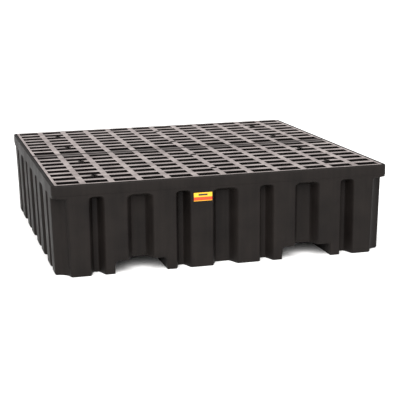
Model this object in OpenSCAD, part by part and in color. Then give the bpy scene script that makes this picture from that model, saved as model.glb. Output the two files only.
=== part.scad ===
// Spill containment pallet for four drums: a one-piece moulded sump with
// fluted walls and two fork tunnels, two lift-off grates side by side, and
// the loose columns that carry the grates over the sump.
// X runs along the front, Y away from the front, Z up. The origin is on the
// floor at the middle of the base.

/* [Base] */
// Length of the base over its rim, along the front
base_l = 1308; // [1150:1:1700]
// Width of the base over its rim, front to back
base_w = 1308; // [1150:1:1700]
// Height of the rim, which is also the height of the deck
base_h = 349; // [280:1:450]
// Thickness of the moulded walls, floor and tunnel roofs
wall_t = 7; // [5:0.5:9]
// How far each wall leans in from the rim down to the floor
wall_lean = 8; // [0:0.5:20]

/* [Rim] */
// Height of the band round the top of the base
rim_h = 40; // [30:1:60]
// How far the band stands out beyond the walls
rim_proud = 1.5; // [0:0.5:12]
// Thickness of the upstand that the grates lie inside
rim_t = 12.5; // [8:0.5:16]
// Width of the ledge that the edges of the grates lie on
ledge_w = 12; // [6:0.5:20]
// Radius of the band's four corners
rim_r = 20; // [8:1:40]

/* [Flutes] */
// Distance from one flute to the next along a wall
flute_pitch = 163.5; // [140:0.5:240]
// Depth of the flutes
flute_d = 50; // [20:1:60]
// Width of a wide flute at the face of the wall
wide_mouth = 100; // [70:1:110]
// Width of a wide flute at its bottom
wide_bottom = 54; // [40:1:66]
// Width of a narrow flute at the face of the wall
narrow_mouth = 54; // [44:1:66]
// Width of a narrow flute at its bottom
narrow_bottom = 22; // [16:1:40]
// Distance from the rim band down to the tops of the flutes
flute_drop = 7; // [4:1:30]
// Length that each corner notch takes off the face of a wall
notch_l = 52; // [20:1:70]
// Depth of the corner notches
notch_d = 38; // [15:1:50]
// Least flat length of wall between two flutes or beside a corner
face_min = 20; // [10:1:60]

/* [Fork tunnels] */
// Distance between the middles of the two fork tunnels
fork_spacing = 654; // [560:1:760]
// Width of each fork tunnel
fork_w = 194; // [150:1:210]
// Height of each fork tunnel above the floor
fork_h = 51; // [40:1:110]

/* [Grates] */
// Gap between a grate and the rim, and half of the gap between the grates
grate_gap = 1.5; // [0.5:0.5:5]
// Depth of a grate over the sump
grate_t = 48; // [40:1:70]
// Thickness of a grate's walking surface
skin_t = 6; // [4:0.5:10]
// Thickness of the webs round each slot
web_t = 5; // [3:0.5:8]
// Number of slots along a grate
slots_x = 12; // [4:1:20]
// Number of slots across a grate
slots_y = 8; // [4:1:16]
// Width of the ribs between slots, running front to back
rib_w = 23; // [18:0.5:40]
// Width of the bars between slots, running side to side
bar_w = 28; // [26:0.5:50]
// Width of the plain border at the two sides
side_border = 10.7; // [8:0.1:30]
// Width of the plain border along the front or the back
outer_border = 11.3; // [10:0.1:30]
// Width of the plain border along the seam between the grates
seam_border = 34; // [15:0.5:50]
// Depth of the hollows between the ribs along the seam
seam_drop = 1.5; // [0.5:0.5:20]

/* [Columns] */
// Outer diameter of the columns
column_d = 66; // [50:1:80]
// Thickness of the column walls
column_t = 5; // [3:0.5:8]
// Thickness of the plate on top of a column
column_cap_t = 8; // [4:0.5:15]
// Diameter of the peg on top of a column
peg_d = 26; // [16:0.5:28]
// Distance from the walking surface down to the top of a peg
peg_drop = 6; // [2:0.5:15]
// Thickness of the socket wall round a peg
socket_t = 4; // [3:0.5:8]
// Clearance all round a peg in its socket, and a column over its boss
fit_gap = 0.5; // [0.3:0.1:1]
// Height of the moulded boss under each column
boss_h = 14; // [8:1:30]
// Gap between a fork tunnel's wall and the columns beside it
column_gap = 4; // [1:0.5:20]
// Bars that the columns stand under, counted from the seam
column_bars = [2, 6];
// Width and height of the drain notches in a column's foot
drain_notch = 12; // [6:1:20]

/* [Label] */
// Length of the label
label_l = 71; // [40:1:76]
// Height of the label
label_h = 32; // [15:1:60]
// Thickness of the label
label_t = 0.5; // [0.3:0.1:1]
// Gap between the label and the edge of the middle flute
label_gap = 3; // [2:0.5:6]
// Distance from the rim band down to the middle of the label
label_drop = 36; // [24:1:120]

/* [Hidden] */
$fn = 48;
// Overlap of a cutting solid with open air
cut = 1;

// Walls, at the rim and at the floor
wall_l = base_l - 2 * rim_proud;
wall_w = base_w - 2 * rim_proud;
wall_h = base_h - rim_h;
foot_scale = [1 - 2 * wall_lean / wall_l, 1 - 2 * wall_lean / wall_w];
flute_top = wall_h - flute_drop;

// The grates lie on the ledge inside the rim
ledge_z = wall_h + wall_t;
rebate_l = base_l - 2 * rim_t;
rebate_w = base_w - 2 * rim_t;
rebate_r = max(rim_r - rim_t, 1);
grate_l = rebate_l - 2 * grate_gap;
grate_w = rebate_w / 2 - 2 * grate_gap;
edge_t = base_h - ledge_z;
grate_r = max(rebate_r - grate_gap, 0.5);
slot_pitch_x = (grate_l - 2 * side_border + rib_w) / slots_x;
slot_pitch_y = (grate_w - outer_border - seam_border + bar_w) / slots_y;
slot_l = slot_pitch_x - rib_w;
slot_w = slot_pitch_y - bar_w;

// Planes that divide the one base moulding into its nodes: pans and tunnel
// roofs up to the top of the tunnels, and above them four walls that meet at
// wall_x. The pan under the middle columns is as wide as they are
tunnel_in = fork_spacing / 2 - fork_w / 2;
tunnel_out = fork_spacing / 2 + fork_w / 2;
pan_top = fork_h + wall_t;
wall_x = base_l / 2 - rim_proud - wall_lean - flute_d - wall_t;

// Columns stand between the floor and the underside of the grates
column_h = base_h - grate_t - wall_t;
column_r = column_d / 2;
boss_r = column_r - column_t - fit_gap;
peg_r = peg_d / 2;
socket_r = peg_r + fit_gap;
column_x = fork_spacing / 2 + fork_w / 2 + wall_t + column_gap + column_r;

// The label lies on the flat face beside the middle flute
label_z = wall_h - label_drop;
label_x = -wide_mouth / 2 - label_gap - label_l / 2;
label_y = -wall_w / 2 + wall_lean * (flute_top - label_z) / wall_h;

base_colour = "#2b2725";
grate_colour = "#8f8886";
column_colour = "#34302e";
label_colour = "#f6c21c";

// Middle of the bar number n of a grate, counted from the seam
function bar_y(n) = grate_gap + seam_border + n * slot_pitch_y - bar_w / 2;

// Left, middle and right column under the first bar, then the same under the second
function column_spots() =
    [for (bar = column_bars) for (side = [-1, 0, 1]) [side * column_x, bar_y(bar)]];

// Numbers of the flutes that fit on a wall of this half length, with the wide ones even
function flute_half(n) = (n % 2 == 0 ? wide_mouth : narrow_mouth) / 2;
function flute_fits(n, half) =
    n * flute_pitch + flute_half(n) + face_min <= half - notch_l;
function flute_numbers(half) = [
    for (n = [-8:8]) if (flute_fits(abs(n), half)) n
];

// One flute as four points along a wall that runs from left to right at y = -depth_y
function flute_points(n, depth_y) =
    let (
        middle = n * flute_pitch,
        mouth = flute_half(abs(n)),
        bottom = (abs(n) % 2 == 0 ? wide_bottom : narrow_bottom) / 2
    )
    [
        [middle - mouth, -depth_y],
        [middle - bottom, -depth_y + flute_d],
        [middle + bottom, -depth_y + flute_d],
        [middle + mouth, -depth_y]
    ];

// One wall with its flutes, and the notch at its right-hand corner
function wall_points(half_along, half_across) = concat(
    [[-half_along + notch_l, -half_across]],
    [for (n = flute_numbers(half_along)) each flute_points(n, half_across)],
    [
        [half_along - notch_l, -half_across],
        [half_along - notch_d, -half_across + notch_d]
    ]
);

// A point turned by whole quarter turns about the origin
function quarter(p, turns) =
    turns == 0 ? p : quarter([-p[1], p[0]], turns - 1);

function outline_points() = concat(
    wall_points(wall_l / 2, wall_w / 2),
    [for (p = wall_points(wall_w / 2, wall_l / 2)) quarter(p, 1)],
    [for (p = wall_points(wall_l / 2, wall_w / 2)) quarter(p, 2)],
    [for (p = wall_points(wall_w / 2, wall_l / 2)) quarter(p, 3)]
);

// Plan of the walls just under the rim, drawn in by inset all round
module wall_plan(inset) {
    offset(delta = -inset)
        polygon(outline_points());
}

// Walls leaning in from the plan at height top down to the floor
module leaning_solid(inset, top) {
    share = top / wall_h;
    foot = [for (s = foot_scale) 1 - (1 - s) * share];
    translate([0, 0, top])
        mirror([0, 0, 1])
            linear_extrude(height = top, scale = foot, slices = 1)
                wall_plan(inset);
}

module rounded_plate(l, w, h, r) {
    linear_extrude(height = h) {
        square([l - 2 * r, w], center = true);
        square([l, w - 2 * r], center = true);
        for (x = [-1, 1], y = [-1, 1])
            translate([x * (l / 2 - r), y * (w / 2 - r)])
                circle(r = r);
    }
}

// A bar along Y that is centred on X and starts at height z
module y_bar(x, z, w, l, h) {
    translate([x - w / 2, -l / 2, z])
        cube([w, l, h]);
}

// Flange at the top of the walls that the edges of the grates lie on
module ledge() {
    h = ledge_z - flute_top;
    translate([0, 0, flute_top])
        difference() {
            translate([-base_l / 2, -base_w / 2, 0])
                cube([base_l, base_w, h + cut]);
            translate([0, 0, -cut])
                rounded_plate(
                    rebate_l - 2 * ledge_w, rebate_w - 2 * ledge_w, h + 3 * cut, rebate_r
                );
        }
}

// Space inside the base that liquid can fill, up to the ledge
module sump_space() {
    difference() {
        leaning_solid(wall_t, ledge_z);
        ledge();
        translate([-base_l / 2, -base_w / 2, -cut])
            cube([base_l, base_w, wall_t + cut]);
    }
}

module tunnels(grow, h) {
    for (side = [-1, 1])
        y_bar(side * fork_spacing / 2, -cut, fork_w + 2 * grow, base_w, h + grow + cut);
}

module boss(r, h) {
    for (y_side = [-1, 1], p = column_spots())
        translate([p[0], y_side * p[1], 0])
            cylinder(r = r, h = h);
}

// Outside of the moulding, from the floor to the top of the rim
module base_outside() {
    leaning_solid(0, flute_top);
    translate([0, 0, flute_top])
        rounded_plate(wall_l, wall_w, rim_h, rim_r);
    translate([0, 0, wall_h])
        rounded_plate(base_l, base_w, rim_h, rim_r);
}

// What lies between two planes in x, two in y and two in z
module between(x, y, z) {
    intersection() {
        children();
        translate([x[0], y[0], z[0]])
            cube([x[1] - x[0], y[1] - y[0], z[1] - z[0]]);
    }
}

// A pan between two planes in x, with its bosses
module pan(x) {
    color(base_colour)
        between(x, [-base_w, base_w], [-cut, pan_top])
            difference() {
                union() {
                    difference() {
                        base_outside();
                        difference() {
                            sump_space();
                            tunnels(wall_t, fork_h);
                        }
                    }
                    boss(boss_r, wall_t + boss_h);
                }
                tunnels(0, fork_h);
                translate([0, 0, -cut])
                    boss(boss_r - wall_t, boss_h + cut);
            }
}

// The roof of a tunnel between two planes in x
module tunnel_roof(x) {
    color(base_colour)
        between(x, [-base_w, base_w], [fork_h, pan_top])
            base_outside();
}

// A wall above the pans
module high_part(x, y) {
    color(base_colour)
        between(x, y, [pan_top, base_h + cut])
            difference() {
                base_outside();
                sump_space();
                translate([0, 0, ledge_z])
                    rounded_plate(rebate_l, rebate_w, rim_h, rebate_r);
            }
}

module base_left_pan() {
    pan([-base_l, -tunnel_out]);
}

module base_inner_left_pan() {
    pan([-tunnel_in, -column_r]);
}

module base_middle_pan() {
    pan([-column_r, column_r]);
}

module base_inner_right_pan() {
    pan([column_r, tunnel_in]);
}

module base_right_pan() {
    pan([tunnel_out, base_l]);
}

module base_left_tunnel_roof() {
    tunnel_roof([-tunnel_out, -tunnel_in]);
}

module base_right_tunnel_roof() {
    tunnel_roof([tunnel_in, tunnel_out]);
}

module base_front_wall() {
    high_part([-wall_x, wall_x], [-base_w, 0]);
}

module base_rear_wall() {
    high_part([-wall_x, wall_x], [0, base_w]);
}

module base_left_wall() {
    high_part([-base_l, -wall_x], [-base_w, base_w]);
}

module base_right_wall() {
    high_part([wall_x, base_l], [-base_w, base_w]);
}

// Middle of slot number i along and j across, with j counted from the seam
function slot_x(i) = (i - (slots_x - 1) / 2) * slot_pitch_x;
function slot_y(j) = grate_gap + seam_border + slot_w / 2 + j * slot_pitch_y;

// The part of a slot's tube between its walls grown by grow
module slot_block(i, j, grow, z, h) {
    translate([slot_x(i) - slot_l / 2 - grow, slot_y(j) - slot_w / 2 - grow, z])
        cube([slot_l + 2 * grow, slot_w + 2 * grow, h]);
}

// The part of the seam border beside slot number i, from the deck down to depth h
module seam_block(i, grow, h) {
    translate([slot_x(i) - slot_l / 2 - grow, grate_gap - cut + min(grow, cut), base_h - h])
        cube([slot_l + 2 * grow, seam_border + cut - min(grow, cut), h]);
}

// Edge-to-edge plate of both halves as one, drawn in by inset all round
module deck_plate(inset, z, h) {
    translate([0, 0, z])
        rounded_plate(
            grate_l - 2 * inset, rebate_w - 2 * (grate_gap + inset), h,
            max(grate_r - inset, 0.5)
        );
}

module rear_half_grate() {
    under_z = base_h - grate_t;
    // Slots over the ledge stop there, and the rest hang down into the sump
    function tube_z(i, j) =
        i == 0 || i == slots_x - 1 || j == slots_y - 1 ? ledge_z : under_z;
    difference() {
        union() {
            intersection() {
                difference() {
                    deck_plate(0, ledge_z, edge_t);
                    intersection() {
                        deck_plate(web_t, ledge_z - cut, edge_t + cut - skin_t);
                        translate([-grate_l / 2, grate_gap + web_t, 0])
                            cube([grate_l, grate_w, base_h]);
                    }
                }
                translate([-grate_l / 2, grate_gap, 0])
                    cube([grate_l, grate_w, base_h + cut]);
            }
            for (i = [0:slots_x - 1], j = [0:slots_y - 1])
                slot_block(i, j, web_t, tube_z(i, j), base_h - tube_z(i, j));
            for (i = [0:slots_x - 1])
                seam_block(i, web_t, seam_drop + skin_t);
            for (p = column_spots())
                translate([p[0], p[1], under_z])
                    cylinder(r = socket_r + socket_t, h = grate_t);
        }
        for (i = [0:slots_x - 1])
            translate([0, 0, cut])
                seam_block(i, 0, seam_drop + cut);
        for (i = [0:slots_x - 1], j = [0:slots_y - 1])
            slot_block(i, j, 0, under_z - cut, grate_t + 2 * cut);
        for (p = column_spots())
            translate([p[0], p[1], under_z - cut])
                cylinder(r = socket_r, h = grate_t + 2 * cut);
    }
}

module rear_grate() {
    color(grate_colour)
        rear_half_grate();
}

module front_grate() {
    color(grate_colour)
        rotate([0, 0, 180])
            rear_half_grate();
}

// A tube over the boss on the floor, closed by a plate with a peg on top
module column() {
    color(column_colour)
        translate([0, 0, wall_t])
            difference() {
                union() {
                    cylinder(r = column_r, h = column_h);
                    cylinder(r = peg_r, h = column_h + grate_t - peg_drop);
                }
                translate([0, 0, -cut])
                    cylinder(r = column_r - column_t, h = column_h - column_cap_t + cut);
                for (turn = [0, 90])
                    rotate([0, 0, turn])
                        translate([-column_d, -drain_notch / 2, -cut])
                            cube([2 * column_d, drain_notch, drain_notch + cut]);
            }
}

// Column number n of the rear half, or of the front half as a half turn of it
module place_column(n, half_turn) {
    p = column_spots()[n - 1];
    rotate([0, 0, half_turn ? 180 : 0])
        translate([p[0], p[1], 0])
            column();
}

// Thin plate that lies on the leaning face of the front wall
module label() {
    lean = atan(wall_lean / wall_h);
    color(label_colour)
        translate([label_x, label_y, label_z])
            rotate([lean, 0, 0])
                translate([-label_l / 2, -label_t, -label_h / 2])
                    cube([label_l, label_t, label_h]);
}

base_left_pan();
base_inner_left_pan();
base_middle_pan();
base_inner_right_pan();
base_right_pan();
base_left_tunnel_roof();
base_right_tunnel_roof();
base_front_wall();
base_rear_wall();
base_left_wall();
base_right_wall();
front_grate();
rear_grate();
for (n = [1:6]) place_column(n, true);
for (n = [1:6]) place_column(n, false);
label();
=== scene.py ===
from math import pi, radians

import bmesh
import bpy
import numpy as np
from mathutils import Matrix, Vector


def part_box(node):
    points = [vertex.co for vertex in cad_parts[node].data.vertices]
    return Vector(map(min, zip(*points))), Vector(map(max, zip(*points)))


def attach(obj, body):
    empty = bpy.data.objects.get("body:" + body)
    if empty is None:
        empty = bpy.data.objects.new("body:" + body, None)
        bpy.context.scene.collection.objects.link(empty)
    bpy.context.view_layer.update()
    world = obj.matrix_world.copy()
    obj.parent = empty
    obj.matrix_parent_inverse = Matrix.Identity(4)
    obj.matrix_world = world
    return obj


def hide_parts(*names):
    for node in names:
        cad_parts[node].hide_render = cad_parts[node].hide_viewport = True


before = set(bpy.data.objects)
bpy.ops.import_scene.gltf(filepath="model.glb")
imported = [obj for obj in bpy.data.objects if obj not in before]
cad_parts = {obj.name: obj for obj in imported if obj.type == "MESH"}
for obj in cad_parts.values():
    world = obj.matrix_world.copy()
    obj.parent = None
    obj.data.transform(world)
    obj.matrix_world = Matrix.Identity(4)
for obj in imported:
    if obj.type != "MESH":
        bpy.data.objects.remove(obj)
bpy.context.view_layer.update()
scene = bpy.context.scene

# ---- Camera -------------------------------------------------------------------------------
# A standing look down at the pallet from its front left corner, through a longish lens.
CAMERA_AT = (-1.1539, -4.6024, 1.1516)
HEADING, LOOK_DOWN, ROLL = -14.93, 12.292, -0.861   # degrees
camera = bpy.data.objects.new("camera", bpy.data.cameras.new("camera"))
camera.data.lens = 100.8
camera.data.sensor_width = 36.0
camera.matrix_world = (
    Matrix.Translation(CAMERA_AT)
    @ Matrix.Rotation(radians(HEADING), 4, "Z")
    @ Matrix.Rotation(radians(90 - LOOK_DOWN), 4, "X")
    @ Matrix.Rotation(radians(ROLL), 4, "Z")
)
scene.collection.objects.link(camera)
scene.camera = camera

# ---- Moulded base -------------------------------------------------------------------------
# The base is one hollow shell of black polyethylene, rotationally moulded, so its walls are one
# thickness all over and every corner is soft. Flutes stiffen the four walls, and two tunnels for
# the tines of a fork-lift run under it from front to back.
MM = 0.001
base_nodes = [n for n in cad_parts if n.startswith("base_")]
base_top = max(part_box(n)[1].z for n in base_nodes) / MM
HALF = max(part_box(n)[1].x for n in base_nodes) / MM
WALL = HALF - 1.5            # face of the wall at its top, just inside the rim band
LEAN = 8.0                   # how far the wall leans in on the way down
FLUTE_TOP = 302.0
FLUTE_DEPTH = 50.0
PITCH = 163.5                # from one flute to the next, wide and narrow in turn
WIDE, NARROW = (50.0, 27.0), (27.0, 11.0)   # half widths of a flute at its mouth and at its bottom
FLUTE_ROUNDS = (30.0, 20.0)  # radius of the upper corners of a wide and of a narrow flute
FLUTE_BLEND = 3.0            # how far a flute's edges are softened past its half widths
TUNNEL_AT, TUNNEL_HALF, TUNNEL_TOP = 327.0, 97.0, 51.0
NOTCH = 52.0                 # radius of the scoop out of each corner
SCOOP_EDGE = 8.0             # radius of the edge between a wall and a scoop
SHELL = 7.0                  # thickness of the shell
FOOT_ROUND = 6.0             # radius of the edge all round the underside
INNER_GROW, NO_TOP = 6.0, 400.0   # on the inner face a flute is wider, and runs up past the rim
TUNNEL_ROUND = 11.0          # radius of a tunnel mouth's upper corners
TUNNEL_SPREAD = 3.0          # how far a mouth's sides spread towards the floor
RIM_TOP = 349.0
RIM_ROUND = 20.0             # radius of the rim's corners in plan
LEDGE_TOP, LEDGE_BACK = 316.0, 24.5   # the grates' ledge: its height and its reach in from the rim
REBATE_ROUND = 7.5           # radius of the rebate's corners in plan
# The rim's section, from the wall up over the rim and down to the ledge: distance in, height
RIM_SECTION = [
    (1.5, 307), (1.2, 309), (.3, 310.2), (0, 312), (0, 344.6), (.35, 346.4), (1.3, 347.8),
    (2.7, 348.7), (4.4, 349), (9.6, 349), (10.9, 348.7), (11.9, 347.9), (12.4, 346.6),
    (12.5, 345), (12.5, 318), (12.9, 316.8), (14, 316.2), (15.5, 316),
]


def soft_step(t):
    """0 below t = 0, 1 above t = 1, and 3 t^2 - 2 t^3 in between."""
    t = np.clip(t, 0, 1)
    return t * t * (3 - 2 * t)


def quarter_round(d, r):
    """How far a rounded edge of radius r has drawn back at distance d from the edge."""
    return r - np.sqrt(np.clip(r * r - (r - np.clip(d, 0, r)) ** 2, 0, None))


def beyond_tunnel(u, z, grow):
    """Distance in the wall from the mouth of the nearest fork tunnel, drawn larger by grow.
    The mouth has sides that spread towards the floor, and round upper corners."""
    q = np.abs(np.abs(u) - TUNNEL_AT)
    half, top, r = TUNNEL_HALF + grow, TUNNEL_TOP + grow, TUNNEL_ROUND + grow
    spring = top - r
    over = np.hypot(np.maximum(q - half + r, 0), np.maximum(z - spring, 0)) - r
    return np.where(z > spring, over, q - half - TUNNEL_SPREAD * (1 - z / spring))


def tunnel_edge(u, low, grow):
    """Height of the lower edge of a wall: low beside the tunnels, and their outline over them."""
    q = np.abs(np.abs(u) - TUNNEL_AT)
    half, top, r = TUNNEL_HALF + grow, TUNNEL_TOP + grow, TUNNEL_ROUND + grow
    spring = top - r
    side = low + (half + TUNNEL_SPREAD - q) / TUNNEL_SPREAD * (spring - low)
    arch = spring + np.sqrt(np.clip(r * r - np.clip(q - half + r, 0, None) ** 2, 0, None))
    edge = np.where(q > half, side, arch)
    return np.where(q < half + TUNNEL_SPREAD, np.maximum(edge, low), low)


def wall_columns(with_tunnels):
    """Places along the straight of one wall, close together where the wall turns."""
    flat = WALL - np.sqrt((NOTCH + SCOOP_EDGE) ** 2 - SCOOP_EDGE ** 2)
    places = [np.linspace(-flat, flat, 47)]
    turn = np.array([0, .06, .14, .23, .33, .44, .56, .67, .77, .86, .94, 1])
    for n in range(-3, 4):
        mouth, bottom = (WIDE, NARROW)[n % 2]
        side = bottom - FLUTE_BLEND + turn * (mouth - bottom + 4 * FLUTE_BLEND)
        places += [n * PITCH + side, n * PITCH - side]
    if with_tunnels:
        for grow in (0, SHELL):
            edge = TUNNEL_HALF + grow + np.array(
                [-18, -13, -9, -6, -3.5, -1.5, 0, .75, 1.5, 2.25, 3, 3.6, 4.6, 6, 8.5]
            )
            places += [s * TUNNEL_AT + t * edge for s in (-1, 1) for t in (-1, 1)]
    u = np.unique(np.round(np.concatenate(places), 2))
    u = u[np.abs(u) <= flat]
    return u[np.concatenate([[True], np.diff(u) > 0.45])]


def flute_reach(u, z, grow, top):
    """How deep the flutes are at u, z: 1 at their bottoms. Each is a box of height top with round
    upper corners, and its side and roof follow a soft step of the distance in from its outline."""
    n = np.clip(np.round(u / PITCH), -3, 3)
    wide = n % 2 == 0
    mouth = np.where(wide, WIDE[0], NARROW[0]) + FLUTE_BLEND + grow
    slope = np.where(wide, WIDE[0] - WIDE[1], NARROW[0] - NARROW[1]) + 2 * FLUTE_BLEND
    r = np.where(wide, *FLUTE_ROUNDS)
    across = np.abs(u - n * PITCH) - (mouth - r)
    up = (z - top) * 1.5 + r
    out = np.hypot(np.maximum(across, 0), np.maximum(up, 0)) + np.minimum(np.maximum(across, up), 0)
    return soft_step((r - out) / slope)


def corner_columns():
    """Angles over the round edge and the scoop of a corner, from the wall to the middle."""
    return np.linspace(0, 1, 7)[1:], np.linspace(0, 1, 8)[1:]


def around(with_tunnels):
    """Columns of one wall, from the middle of its left corner to just before the middle of its
    right one: u along the wall, and for a corner column its place on the corner's curve."""
    u = wall_columns(with_tunnels)
    edge, scoop = corner_columns()
    corner = np.concatenate([edge, 1 + scoop])
    u_all = np.concatenate([np.full(len(corner), u[0]), u, np.full(len(corner) - 1, u[-1])])
    c_all = np.concatenate([-corner[::-1], np.zeros(len(u)), corner[:-1]])
    return u_all, c_all


def corner_plan(c, wall, inset):
    """Plan of the right corner of the front wall, as x and y: a convex edge of radius SCOOP_EDGE,
    then a quarter scoop of radius NOTCH about the sharp corner. c runs from 0 to 1 over the edge and
    from 1 to 2 over the scoop, whose end is on the diagonal."""
    reach = np.sqrt((NOTCH + SCOOP_EDGE) ** 2 - SCOOP_EDGE ** 2)
    tilt = np.arctan2(SCOOP_EDGE, reach)
    turn = pi / 2 - tilt
    a = -pi / 2 + np.clip(c, 0, 1) * turn
    edge = (wall - reach + (SCOOP_EDGE - inset) * np.cos(a),
            -wall + SCOOP_EDGE + (SCOOP_EDGE - inset) * np.sin(a))
    b = tilt + np.clip(c - 1, 0, 1) * (pi / 4 - tilt)
    r = NOTCH + inset
    scoop = (wall - r * np.cos(b), -wall + r * np.sin(b))
    return [np.where(c <= 1, e, s) for e, s in zip(edge, scoop)]


def rim_plan(u, c, back, r):
    """Plan of a rounded square drawn back by back from the rim, at a wall's own columns: the
    straight runs on past the flutes, and the last part of the corner columns turns by 45 degrees."""
    t = np.abs(c) / 2
    end = np.abs(u)
    side = HALF - back
    straight = end + (side - r - end) * np.clip(t / 0.5, 0, 1)
    a = -pi / 2 + np.clip((t - 0.5) / 0.5, 0, 1) * pi / 4
    x = np.where(t > 0.5, side - r + r * np.cos(a), straight)
    y = np.where(t > 0.5, -side + r + r * np.sin(a), -side)
    return np.where((c < 0) | ((c == 0) & (u < 0)), -x, x), y


def wall_plan(u, c, z, tunnels, inside):
    """Plan of a wall's own columns at height z, on its outer or its inner face."""
    wall = WALL - LEAN * (FLUTE_TOP - z) / FLUTE_TOP
    inset = SHELL if inside else 0.0
    grow, top = (INNER_GROW, NO_TOP) if inside else (0.0, FLUTE_TOP)
    reach = flute_reach(u, z, grow, top)
    low, r = (SHELL, FOOT_ROUND + SHELL) if inside else (0.0, FOOT_ROUND)
    back = quarter_round(z - low, r)
    if tunnels:
        near = quarter_round(np.clip(beyond_tunnel(u, z, inset), 0, None), r)
        back = np.where(c == 0, np.maximum(back, near), back)
    x_straight, y_straight = u, -wall + inset + FLUTE_DEPTH * reach + back
    x_corner, y_corner = corner_plan(np.abs(c), wall - back, inset)
    x_corner = np.where(c < 0, -x_corner, x_corner)
    x = np.where(c == 0, x_straight, x_corner)
    y = np.where(c == 0, y_straight, y_corner)
    if inside:
        return x, y
    rim_x, rim_y = rim_plan(u, c, HALF - WALL, RIM_ROUND - (HALF - WALL))
    low_share = np.where(c == 0, 1.0, soft_step((FLUTE_TOP - z) / SCOOP_EDGE))
    return rim_x + (x - rim_x) * low_share, rim_y + (y - rim_y) * low_share


def base_wall(tunnels):
    """One wall as rows of points from the lower edge of its outer face, up, over the rim, across
    the ledge and down to the lower edge of its inner face. Each row has every column."""
    u, c = around(tunnels)
    rows = []
    edge = tunnel_edge(u, 0.0, 0.0) if tunnels else np.zeros(len(u))
    edge = np.where(c == 0, edge, 0.0)
    rise = np.array([0, .45, 1.3, 2.6, 4.2, 6, 14, 30, 60, 100, 145, 185, 215])
    share = np.linspace(0, 1, len(rise)) ** 2
    for k, up in enumerate(rise):
        z = edge + up - edge * share[k]
        x, y = wall_plan(u, c, z, tunnels, False)
        rows.append((x, y, z))
    for z in np.concatenate([np.arange(232, 292, 5.0), np.arange(292, 302, 1.6), [FLUTE_TOP]]):
        z = np.full(len(u), z)
        x, y = wall_plan(u, c, z, tunnels, False)
        rows.append((x, y, z))
    for back, z in RIM_SECTION:
        x, y = rim_plan(u, c, back, max(RIM_ROUND - back, 4.0))
        rows.append((x, y, np.full(len(u), z + base_top - RIM_TOP)))
    # The ledge reaches in to a straight edge, or to the flute where that stands further in
    x_in, y_in = wall_plan(u, c, np.full(len(u), FLUTE_TOP), False, True)
    ledge_x, ledge_y = rim_plan(u, c, LEDGE_BACK, REBATE_ROUND)
    deeper = y_in > ledge_y
    ex, ey = np.where(deeper, x_in, ledge_x), np.where(deeper, y_in, ledge_y)
    for share, drop in ((.9, 0), (.975, .4), (1, 2), (1, 12.5)):
        x, y = rim_plan(u, c, RIM_SECTION[-1][0], REBATE_ROUND)
        rows.append((x + (ex - x) * share, y + (ey - y) * share, np.full(len(u), LEDGE_TOP - drop)))
    low = tunnel_edge(u, SHELL, SHELL) if tunnels else np.full(len(u), SHELL)
    low = np.where(c == 0, low, SHELL)
    for z in (302, 300, 250, 190, 130):
        z = np.full(len(u), float(z))
        x, y = wall_plan(u, c, z, tunnels, True)
        rows.append((x, y, z))
    for up in (40, 20, 13, 8, 4.2, 1.6, 0):
        z = low + up
        x, y = wall_plan(u, c, z, tunnels, True)
        rows.append((x, y, z))
    return u, c, np.array(rows)


def base_shell():
    """The whole shell: four walls side by side as one closed band, then the underside and the
    floor inside. Each of those is three flat fields with a tunnel's profile drawn from the front
    wall to the rear wall in between."""
    walls = [base_wall(k % 2 == 0) for k in range(4)]
    turned = []
    for k, (u, c, rows) in enumerate(walls):
        x, y, z = rows[:, 0], rows[:, 1], rows[:, 2]
        for _ in range(k):
            x, y = -y, x
        turned.append(np.stack([x, y, z], -1))
    band = np.concatenate(turned, 1)
    rows, columns = band.shape[:2]
    points = band.reshape(-1, 3)
    i = np.arange(rows - 1)[:, None] * columns
    j = np.arange(columns)[None, :]
    k = (j + 1) % columns
    faces = np.stack([i + j, i + k, i + k + columns, i + j + columns], -1).reshape(-1, 4)
    faces = [tuple(f) for f in faces.tolist()]
    count = [len(w[0]) for w in walls]
    rear_start = count[0] + count[1]
    for row, flip in ((0, True), (rows - 1, False)):
        start = row * columns
        front = start + np.arange(count[0])
        u, c = walls[0][0], walls[0][1]
        grow = SHELL if row else 0.0
        q = np.abs(np.abs(u) - TUNNEL_AT)
        inside = (c == 0) & (q <= TUNNEL_HALF + grow + TUNNEL_SPREAD + 0.001)
        starts = np.flatnonzero(inside[1:] != inside[:-1]) + 1
        straight = np.flatnonzero(c == 0)
        # The rear wall's columns mirror the front's
        rear_first = rear_start + np.flatnonzero(walls[2][1] == 0)[0]
        partner = start + rear_first + (straight[-1] - np.arange(count[0]))
        cuts = []
        for a, b in (starts[:2], starts[2:]):
            m = np.arange(a, b - 1)
            quads = np.stack([front[m], front[m + 1], partner[m + 1], partner[m]], -1)
            faces += [tuple(q) for q in (quads[:, ::-1] if flip else quads).tolist()]
            cuts += [a, b - 1]
        loop = start + np.arange(columns)

        def between(first, last):
            """The points of the edge loop from first to last, in the order of the band."""
            a, b = first - start, last - start
            part = loop[a:b + 1] if a <= b else np.concatenate([loop[a:], loop[:b + 1]])
            return part.tolist()

        left = between(partner[cuts[0]], front[cuts[0]])
        middle = between(front[cuts[1]], front[cuts[2]]) + between(partner[cuts[2]],
                                                                   partner[cuts[1]])
        right = between(front[cuts[3]], partner[cuts[3]])
        for ring in (left, middle, right):
            faces.append(tuple(ring[::-1] if flip else ring))
    return points, faces


def add_piece(name, points, faces, body, material, sharp=40):
    """Makes a mesh object from points in millimetres, smooth but for edges sharper than sharp."""
    mesh = bpy.data.meshes.new(name)
    mesh.from_pydata((np.asarray(points) * MM).tolist(), [], faces)
    mesh.validate()
    mesh.shade_smooth()
    mesh.set_sharp_from_angle(angle=radians(sharp))
    mesh.materials.append(material)
    piece = bpy.data.objects.new(name, mesh)
    scene.collection.objects.link(piece)
    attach(piece, body)
    return piece


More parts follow.
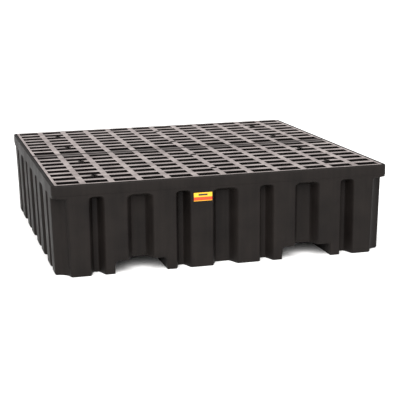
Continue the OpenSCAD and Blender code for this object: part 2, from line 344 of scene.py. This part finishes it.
def linear(hex_code):
    """An sRGB hex colour as the linear red, green, blue and alpha that shaders take."""
    s = np.array([int(hex_code[i:i + 2], 16) for i in (1, 3, 5)]) / 255
    return tuple(np.where(s <= 0.04045, s / 12.92, ((s + 0.055) / 1.055) ** 2.4)) + (1.0,)


def add_node(tree, kind, values=(), links=(), stops=()):
    """Adds a node, sets its settings and its sockets' constants, and links sockets to others.
    A colour ramp also has its stops, each a place and a hex colour."""
    node = tree.nodes.new(kind)
    for key, value in dict(values).items():
        if isinstance(key, str) and hasattr(node, key):
            setattr(node, key, value)
        else:
            node.inputs[key].default_value = value
    for key, source in dict(links).items():
        tree.links.new(source, node.inputs[key])
    if stops:
        elements = node.color_ramp.elements
        while len(elements) < len(stops):
            elements.new(0.5)
        for element, (at, colour) in zip(elements, stops):
            element.position = at
            element.color = linear(colour)
    return node


def new_material(name):
    """An empty node material with its output node, and the node of object coordinates."""
    material = bpy.data.materials.new(name)
    material.use_nodes = True
    tree = material.node_tree
    tree.nodes.clear()
    out = add_node(tree, "ShaderNodeOutputMaterial")
    place = add_node(tree, "ShaderNodeTexCoord").outputs["Object"]
    return material, tree, out, place


# Black rotationally moulded polyethylene: a dull sheen over a fine pebbled skin, a little cloudy
# where the powder fused, with faint upright drag marks from the mould on the walls. Clouds are
# about 110 mm across, drag marks 17 mm wide and 400 mm tall, and pebbles 2.4 mm, drawn coarser
# than the real half millimetre so that they show.
shell_plastic, tree, out, place = new_material("rotomoulded_black_polyethylene")
cloud = add_node(tree, "ShaderNodeTexNoise", {"Scale": 9.0, "Detail": 4.0}, {"Vector": place})
stretch = add_node(tree, "ShaderNodeMapping", {"Scale": (60.0, 60.0, 2.5)}, {"Vector": place})
drag = add_node(tree, "ShaderNodeTexNoise", {"Scale": 1.0, "Detail": 3.0},
                {"Vector": stretch.outputs[0]})
pebble = add_node(tree, "ShaderNodeTexNoise", {"Scale": 420.0, "Detail": 2.0}, {"Vector": place})
mixed = add_node(tree, "ShaderNodeMath", {"operation": "MULTIPLY_ADD", 1: 0.45},
                 {0: drag.outputs[0], 2: cloud.outputs[0]})
shade = add_node(tree, "ShaderNodeValToRGB", {}, {"Fac": mixed.outputs[0]},
                 [(0.45, "#0f0c0b"), (0.95, "#1b1715")])
rough = add_node(tree, "ShaderNodeMapRange", {"From Min": 0.3, "From Max": 0.7, "To Min": 0.5,
                                              "To Max": 0.66}, {"Value": cloud.outputs[0]})
grain = add_node(tree, "ShaderNodeBump", {"Strength": 0.35, "Distance": 0.0006},
                 {"Height": pebble.outputs[0]})
swell = add_node(tree, "ShaderNodeBump", {"Strength": 0.5, "Distance": 0.002},
                 {"Height": cloud.outputs[0], "Normal": grain.outputs[0]})
skin = add_node(tree, "ShaderNodeBsdfPrincipled", {"IOR": 1.5, "Specular IOR Level": 0.12},
                {"Base Color": shade.outputs[0], "Roughness": rough.outputs[0],
                 "Normal": swell.outputs[0]})
tree.links.new(skin.outputs[0], out.inputs["Surface"])

points, faces = base_shell()
shell = add_piece("base_shell", points, faces, "base", shell_plastic)
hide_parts(*base_nodes)

# ---- Support columns ----------------------------------------------------------------------
# Twelve loose tubes of the same black plastic stand on the floor of the sump. Each has a closed
# top, which a grate rests on, and a peg above it that enters a socket in the grate.
for name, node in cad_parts.items():
    if name.startswith("column_"):
        node.data.materials.clear()
        node.data.materials.append(shell_plastic)

# ---- Grates -------------------------------------------------------------------------------
# Two equal gratings of structural-foam polyethylene lie side by side inside the rim. Ribs run
# front to back and bars cross them, with a web round each slot. The mould leaves every edge soft.
# The tops are painted pale, partly for scuffing by boots and drums and partly as a painted sheen
# from the light above, and the slot walls, sides and hollows are near black, partly the plastic's
# own colour and partly painted shade.
EDGE = 0.8                   # width of the softened edges
# Structural-foam polyethylene with painted light: near black on the sides, undersides and slot
# walls, partly the plastic's own black and partly painted shade, and a matt pinkish grey on the
# upward-facing tops, partly scuffing and partly a painted sheen. The pale tops fade out 2 mm below
# the deck, so the shallow hollows along the seam carry painted shade, as do the two edges that
# meet there. Wear patches are about 70 mm across, specks 4 mm.
scuffed_plastic_with_painted_light, tree, out, place = new_material("structural_foam_polyethylene_with_scuffs_and_painted_light")
facing = add_node(tree, "ShaderNodeNewGeometry").outputs["Normal"]
up = add_node(tree, "ShaderNodeSeparateXYZ", {}, {"Vector": facing}).outputs["Z"]
spot = add_node(tree, "ShaderNodeSeparateXYZ", {}, {"Vector": place}).outputs
height = spot["Z"]
from_seam = add_node(tree, "ShaderNodeMath", {"operation": "ABSOLUTE"}, {0: spot["Y"]})
# Painted shade along the seam: the pale tops stop 6 to 11 mm from it, so the seam's shallow hollows
# and the two edges there stay black.
clear_of_seam_shade = add_node(tree, "ShaderNodeMapRange", {"From Min": 0.006, "From Max": 0.011},
                     {"Value": from_seam.outputs[0]})
# Painted shade in the hollows: anything more than about 2 mm below the deck top keeps the near black
# colour.
clear_of_hollow_shade = add_node(tree, "ShaderNodeMapRange",
                   {"From Min": 0.3469, "From Max": 0.3485},
                   {"Value": height})
# Painted sheen: only faces that look up get the pale colour, so the tops are lighter than the sides.
flat = add_node(tree, "ShaderNodeMapRange", {"From Min": 0.55, "From Max": 0.95}, {"Value": up})
clear_of_painted_shade = add_node(tree, "ShaderNodeMath", {"operation": "MULTIPLY"},
                   {0: clear_of_hollow_shade.outputs[0], 1: clear_of_seam_shade.outputs[0]})
# Where the pale colour goes: partly scuffing and partly painted sheen on faces that look up, with
# painted shade left in the hollows and along the seam. It also raises the specular level.
scuffs_and_painted_sheen = add_node(tree, "ShaderNodeMath", {"operation": "MULTIPLY"},
                {0: clear_of_painted_shade.outputs[0], 1: flat.outputs[0]})
patches = add_node(tree, "ShaderNodeTexNoise", {"Scale": 14.0, "Detail": 5.0}, {"Vector": place})
specks = add_node(tree, "ShaderNodeTexNoise", {"Scale": 260.0, "Detail": 3.0}, {"Vector": place})
scuff = add_node(tree, "ShaderNodeMath", {"operation": "MULTIPLY_ADD", 1: 0.5},
                 {0: specks.outputs[0], 2: patches.outputs[0]})
# Pale grey of the tops: partly scuff wear, partly a painted sheen from the light above.
tops = add_node(tree, "ShaderNodeValToRGB", {}, {"Fac": scuff.outputs[0]},
                [(0.55, "#756c6a"), (0.75, "#8b8280"), (0.95, "#a09794")])
# Near black of the sides, slot walls and hollows: partly the plastic's own black, partly painted
# shade.
body = add_node(tree, "ShaderNodeValToRGB", {}, {"Fac": specks.outputs[0]},
                [(0.3, "#070606"), (0.7, "#0c0a09")])
colour = add_node(tree, "ShaderNodeMix", {"data_type": "RGBA"},
                  {"Factor": scuffs_and_painted_sheen.outputs[0], 6: body.outputs[0], 7: tops.outputs[0]})
grain = add_node(tree, "ShaderNodeBump", {"Strength": 0.3, "Distance": 0.0008},
                 {"Height": specks.outputs[0]})
shine = add_node(tree, "ShaderNodeMapRange", {"To Min": 0.03, "To Max": 0.4},
                 {"Value": scuffs_and_painted_sheen.outputs[0]})
skin = add_node(tree, "ShaderNodeBsdfPrincipled",
                {"IOR": 1.5, "Roughness": 0.7},
                {"Base Color": colour.outputs[2], "Normal": grain.outputs[0],
                 "Specular IOR Level": shine.outputs[0]})
tree.links.new(skin.outputs[0], out.inputs["Surface"])

for node_name, piece_name in (("front_grate", "front_deck"), ("rear_grate", "rear_deck")):
    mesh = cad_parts[node_name].data.copy()
    mesh.name = piece_name
    work = bmesh.new()
    work.from_mesh(mesh)
    bmesh.ops.remove_doubles(work, verts=work.verts, dist=0.00001)
    bmesh.ops.dissolve_limit(work, angle_limit=radians(2), verts=work.verts, edges=work.edges)
    work.to_mesh(mesh)
    work.free()
    mesh.shade_smooth()
    mesh.materials.clear()
    mesh.materials.append(scuffed_plastic_with_painted_light)
    grate = bpy.data.objects.new(piece_name, mesh)
    scene.collection.objects.link(grate)
    soften = grate.modifiers.new("soft edges", "BEVEL")
    soften.width, soften.segments, soften.angle_limit = EDGE * MM, 2, radians(40)
    soften.harden_normals = True
    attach(grate, node_name)
    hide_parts(node_name)

# ---- Label --------------------------------------------------------------------------------
# A small glossy film label, printed yellow with an orange band and a plain dark bar, is stuck on
# the front wall beside the middle flute. It has no lettering.
label_lo, label_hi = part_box("label")
film, tree, out, place = new_material("printed_vinyl_film")
spot = add_node(tree, "ShaderNodeSeparateXYZ", {}, {"Vector": place})
across = add_node(tree, "ShaderNodeMapRange", {"From Min": label_lo.x, "From Max": label_hi.x},
                  {"Value": spot.outputs["X"]})
upward = add_node(tree, "ShaderNodeMapRange", {"From Min": label_lo.z, "From Max": label_hi.z},
                  {"Value": spot.outputs["Z"]})
bands = add_node(tree, "ShaderNodeValToRGB", {}, {"Fac": upward.outputs[0]},
                 [(0.05, "#d9a21f"), (0.08, "#bd3a0b"), (0.46, "#bd3a0b"), (0.49, "#dfaa22")])
tall = add_node(tree, "ShaderNodeValToRGB", {}, {"Fac": upward.outputs[0]},
                [(0.62, "#000000"), (0.64, "#ffffff"), (0.84, "#ffffff"), (0.86, "#000000")])
wide = add_node(tree, "ShaderNodeValToRGB", {}, {"Fac": across.outputs[0]},
                [(0.24, "#000000"), (0.26, "#ffffff"), (0.74, "#ffffff"), (0.76, "#000000")])
bar = add_node(tree, "ShaderNodeMath", {"operation": "MULTIPLY"},
               {0: tall.outputs[0], 1: wide.outputs[0]})
ground = add_node(tree, "ShaderNodeMix", {"data_type": "RGBA", 7: linear("#2a2420")},
                  {"Factor": bar.outputs[0], 6: bands.outputs[0]})
gloss = add_node(tree, "ShaderNodeBsdfPrincipled", {"Roughness": 0.3, "IOR": 1.5},
                 {"Base Color": ground.outputs[2]})
tree.links.new(gloss.outputs[0], out.inputs["Surface"])
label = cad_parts["label"]
label.data.materials.clear()
label.data.materials.append(film)

# ---- Floor and light ----------------------------------------------------------------------
# A plain white studio floor under an even white surround, and one large soft light from the
# front, a little to the left and above.
floor_mesh = bpy.data.meshes.new("floor")
floor_mesh.from_pydata([(-40, -40, 0), (40, -40, 0), (40, 40, 0), (-40, 40, 0)], [], [(0, 1, 2, 3)])
floor = bpy.data.objects.new("floor", floor_mesh)
scene.collection.objects.link(floor)
paper, tree, out, place = new_material("white_studio_paper")
matt = add_node(tree, "ShaderNodeBsdfDiffuse", {"Color": linear("#f4f3f2")})
tree.links.new(matt.outputs[0], out.inputs["Surface"])
floor_mesh.materials.append(paper)

world = bpy.data.worlds.new("studio")
scene.world = world
world.use_nodes = True
world.node_tree.nodes["Background"].inputs[0].default_value = (1, 1, 1, 1)
world.node_tree.nodes["Background"].inputs[1].default_value = 0.6

softbox = bpy.data.lights.new("softbox", "SUN")
softbox.energy, softbox.angle = 5.5, radians(60)
lamp = bpy.data.objects.new("softbox", softbox)
lamp.rotation_euler = (radians(48), 0, radians(-14))
scene.collection.objects.link(lamp)

scene.view_settings.view_transform = "Standard"
